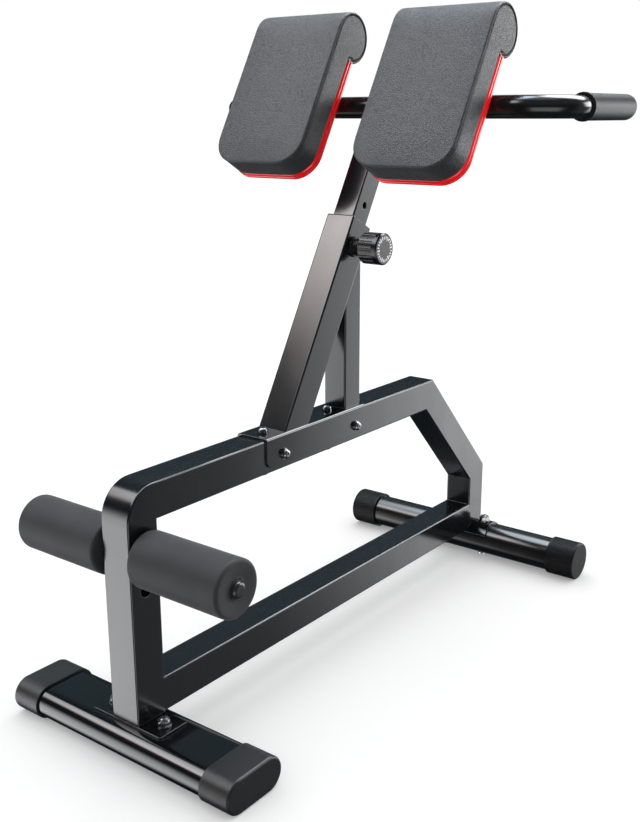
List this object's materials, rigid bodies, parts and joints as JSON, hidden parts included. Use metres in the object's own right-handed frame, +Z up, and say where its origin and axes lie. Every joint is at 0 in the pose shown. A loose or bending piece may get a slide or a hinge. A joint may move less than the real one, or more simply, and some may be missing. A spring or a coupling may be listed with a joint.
{
  "type": "roman chair",
  "caption": "Free-standing roman chair for back extensions: square-tube frame on two cross feet, foam ankle rollers, split thigh pads and U handle on a pin-locked sliding post.",
  "frame": {"origin": "on the floor under the centre of the footprint, on the mid-plane", "axes": "+X from the ankle rollers towards the thigh pads and handle, +Z up, -Y the near side with the locking knob"},
  "size_m": [0.942, 0.6584, 0.9691],
  "materials": {
    "frame_black": "satin black powder coat",
    "gloss_black": "gloss black powder coat",
    "cap_plastic": "matte, finely textured",
    "guide_plastic": "matte",
    "plug_plastic": "gloss",
    "knob_plastic": "fine satin",
    "black_steel": "black zinc, semi-gloss",
    "bright_steel": "zinc plated",
    "grip_rubber": "matte",
    "red_plastic": "gloss",
    "plywood": "raw",
    "pad_cover": "grained leatherette",
    "foam": "closed-cell foam, matte"
  },
  "bodies": {
    "frame": {"main_frame": "frame_black", "rear_base_plate": "frame_black", "front_base_plate": "frame_black", "rear_foot_tube": "gloss_black", "rear_foot_cap_near": "cap_plastic", "rear_foot_cap_far": "cap_plastic", "front_foot_tube": "gloss_black", "front_foot_cap_near": "cap_plastic", "front_foot_cap_far": "cap_plastic", "rear_foot_bolts": "black_steel", "front_foot_bolts": "black_steel", "foot_washers": "black_steel", "foot_nuts": "black_steel", "saddle_bracket": "frame_black", "outer_post": "frame_black", "post_brace": "frame_black", "saddle_side_bolts": "black_steel", "saddle_top_bolts": "black_steel", "saddle_washers": "black_steel", "saddle_nuts": "black_steel", "post_sleeve": "guide_plastic", "pin_barrel": "frame_black", "pin_bush": "black_steel", "pin_spring": "bright_steel", "roller_axle": "bright_steel", "axle_plugs": "plug_plastic"},
    "carriage": {"inner_post": "frame_black", "post_glide": "guide_plastic", "post_cap": "guide_plastic", "handle_bar": "gloss_black", "handle_grip_near": "grip_rubber", "handle_grip_far": "grip_rubber", "pad_plate_near": "frame_black", "pad_plate_far": "frame_black", "pad_shell_near": "red_plastic", "pad_shell_far": "red_plastic", "pad_board_near": "plywood", "pad_board_far": "plywood", "pad_tee_nuts": "bright_steel", "pad_bolts": "black_steel", "pad_cushion_near": "pad_cover", "pad_cushion_far": "pad_cover"},
    "locking_pin": {"pin_rod": "bright_steel", "rod_clip": "bright_steel"},
    "knob": {"pin_knob": "knob_plastic", "knob_cap": "knob_plastic"},
    "roller_near": {"roller_core_near": "guide_plastic", "roller_foam_near": "foam"},
    "roller_far": {"roller_core_far": "guide_plastic", "roller_foam_far": "foam"}
  },
  "joints": [
    {"name": "post_slide", "type": "slide", "parent": "frame", "child": "carriage", "axis": [0.4924, 0, 0.8704], "range_m": [-0.0672, 0.0672]},
    {"name": "pin_pull", "type": "slide", "parent": "frame", "child": "locking_pin", "axis": [0, -1, 0], "range_m": [-0.008, 0], "stiffness_N_per_m": 600, "springref_m": -0.025},
    {"name": "knob_turn", "type": "hinge", "parent": "locking_pin", "child": "knob", "pos_m": [0.03119, -0.062, 0.62825], "axis": [0, -1, 0], "continuous": true},
    {"name": "roller_near_spin", "type": "hinge", "parent": "frame", "child": "roller_near", "pos_m": [-0.42, -0.106, 0.2814], "axis": [0, 1, 0], "continuous": true},
    {"name": "roller_far_spin", "type": "hinge", "parent": "frame", "child": "roller_far", "pos_m": [-0.42, 0.106, 0.2814], "axis": [0, 1, 0], "continuous": true}
  ]
}
